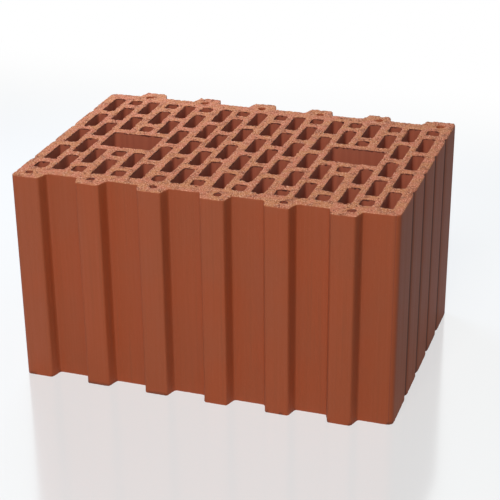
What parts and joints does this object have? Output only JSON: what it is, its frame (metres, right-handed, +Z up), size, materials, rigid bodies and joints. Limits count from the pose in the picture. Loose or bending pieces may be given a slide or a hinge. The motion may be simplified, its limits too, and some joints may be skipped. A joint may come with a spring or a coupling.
{
  "type": "hollow clay block",
  "caption": "Fired clay masonry block with rows of vertical slots, grip holes for lifting, and tongues and recesses that lock into the next block.",
  "frame": {"origin": "middle of the bottom face's bounding box, on the surface the block stands on", "axes": "+X runs along the row of tongues, through the wall's thickness; +Y runs along the wall, from the front tongues to the back tongues; +Z is up, along the slots"},
  "size_m": [0.38, 0.263, 0.219],
  "materials": {
    "fired_clay": "unglazed fired terracotta: matt, fine vertical drag lines on the die-pressed sides, a rough gritty wire-cut top and bottom"
  },
  "bodies": {
    "root": {"clay_block": "fired_clay"}
  },
  "joints": []
}
